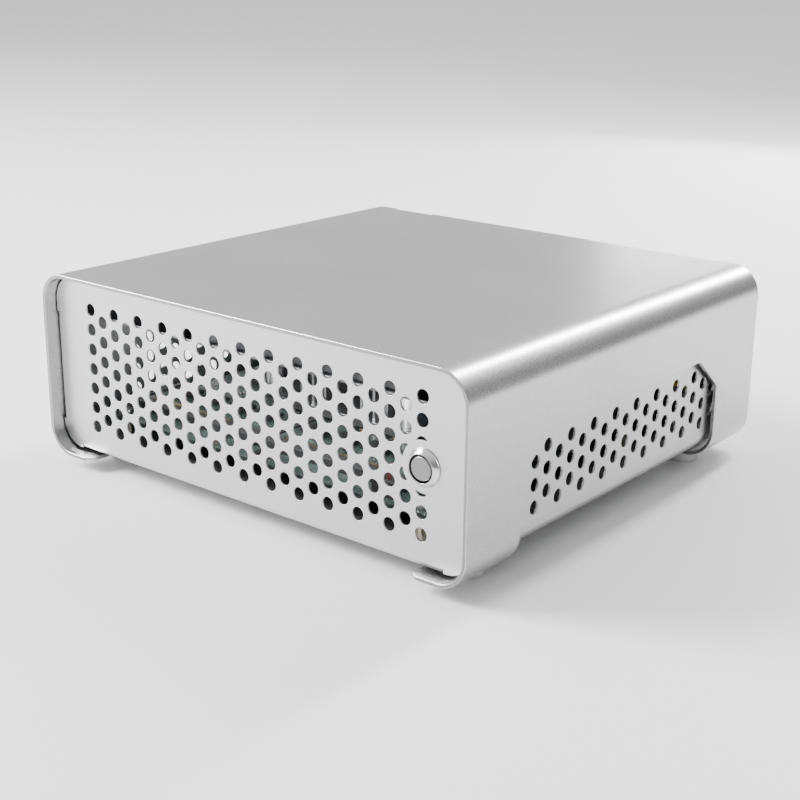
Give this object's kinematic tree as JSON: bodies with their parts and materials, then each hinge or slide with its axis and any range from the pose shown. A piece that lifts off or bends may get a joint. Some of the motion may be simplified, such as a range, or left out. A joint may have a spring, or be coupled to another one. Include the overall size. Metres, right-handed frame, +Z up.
{
  "type": "small desktop computer",
  "caption": "Flat mini desktop computer: folded aluminium cover on corner legs, perforated front and side walls, round push switch, board, cooler and drive inside.",
  "frame": {"origin": "on the desk under the middle of the machine's box, thumbscrew knobs included", "axes": "+Z up, -Y out of the perforated front, +X to the right as seen from the front, where the switch is"},
  "size_m": [0.211, 0.202, 0.0795],
  "materials": {
    "cover_aluminium": "bead-blasted, clear anodised",
    "chassis_aluminium": "bead-blasted, clear anodised",
    "pad_rubber": "matt grey",
    "screw_steel": "zinc plated",
    "polished_steel": "polished bevel",
    "satin_steel": "satin",
    "spring_steel": "bright",
    "black_plastic": "moulded",
    "board_laminate": "solder resist",
    "card_laminate": "solder resist",
    "connector_steel": "nickel plated",
    "shield_steel": "stainless",
    "brass_plated": "machined",
    "chip_black": "moulded",
    "processor_die": "package and die",
    "thermal_grey": "soft",
    "heatsink_aluminium": "extruded",
    "ferrite_grey": "moulded",
    "capacitor_can": "drawn can",
    "copper_winding": "enamelled",
    "cell_steel": "bright",
    "drive_shell": "dark anodised",
    "lead_black": "insulated wire"
  },
  "bodies": {
    "chassis": {"tray": "chassis_aluminium", "front_panel": "chassis_aluminium", "rear_panel": "chassis_aluminium", "rivets": "screw_steel", "rivet_nuts": "brass_plated", "switch_housing": "polished_steel", "switch_spring": "spring_steel", "switch_nut": "satin_steel", "switch_base": "black_plastic", "switch_lead": "lead_black", "standoffs": "brass_plated", "mainboard": "board_laminate", "board_screws": "screw_steel", "io_shield": "shield_steel", "usb_ports": "connector_steel", "lan_port": "connector_steel", "display_ports": "connector_steel", "audio_jacks": "black_plastic", "processor": "processor_die", "thermal_pad": "thermal_grey", "heatsink": "heatsink_aluminium", "cooler_backplate": "satin_steel", "cooler_screws": "screw_steel", "fan_frame": "black_plastic", "fan_stator": "copper_winding", "fan_screws": "screw_steel", "fan_lead": "lead_black", "memory_sockets": "black_plastic", "memory_module_a": "board_laminate", "memory_module_b": "board_laminate", "flash_socket": "black_plastic", "flash_card": "card_laminate", "flash_screw": "brass_plated", "expansion_slot": "black_plastic", "sata_sockets": "black_plastic", "pin_headers": "black_plastic", "chokes": "ferrite_grey", "capacitors": "capacitor_can", "board_chips": "chip_black", "cell_holder": "black_plastic", "coin_cell": "cell_steel", "drive_bracket": "chassis_aluminium", "bracket_screws": "screw_steel", "storage_drive": "drive_shell", "drive_screws": "screw_steel", "sata_lead": "lead_black", "drive_power_lead": "lead_black", "dc_inlet": "black_plastic", "dc_inlet_nut": "satin_steel", "dc_lead": "lead_black"},
    "cover": {"cover": "cover_aluminium", "foot_pads": "pad_rubber"},
    "thumbscrew_left": {"thumbscrew_left": "screw_steel"},
    "thumbscrew_right": {"thumbscrew_right": "screw_steel"},
    "power_button": {"switch_button": "satin_steel"},
    "fan_rotor": {"fan_rotor": "black_plastic"}
  },
  "joints": [
    {"name": "cover_slide", "type": "slide", "parent": "chassis", "child": "cover", "axis": [0, 1, 0], "range_m": [0, 0.21]},
    {"name": "thumbscrew_left_out", "type": "slide", "parent": "cover", "child": "thumbscrew_left", "axis": [0, 1, 0], "range_m": [0, 0.008]},
    {"name": "thumbscrew_right_out", "type": "slide", "parent": "cover", "child": "thumbscrew_right", "axis": [0, 1, 0], "range_m": [0, 0.008]},
    {"name": "power_button_press", "type": "slide", "parent": "chassis", "child": "power_button", "axis": [0, 1, 0], "range_m": [0, 0.0015], "stiffness_N_per_m": 1200, "deforming": ["switch_spring"]},
    {"name": "cpu_fan_spin", "type": "hinge", "parent": "chassis", "child": "fan_rotor", "pos_m": [-0.01565, 0.0108, 0.0461], "axis": [0, 0, 1], "continuous": true}
  ]
}
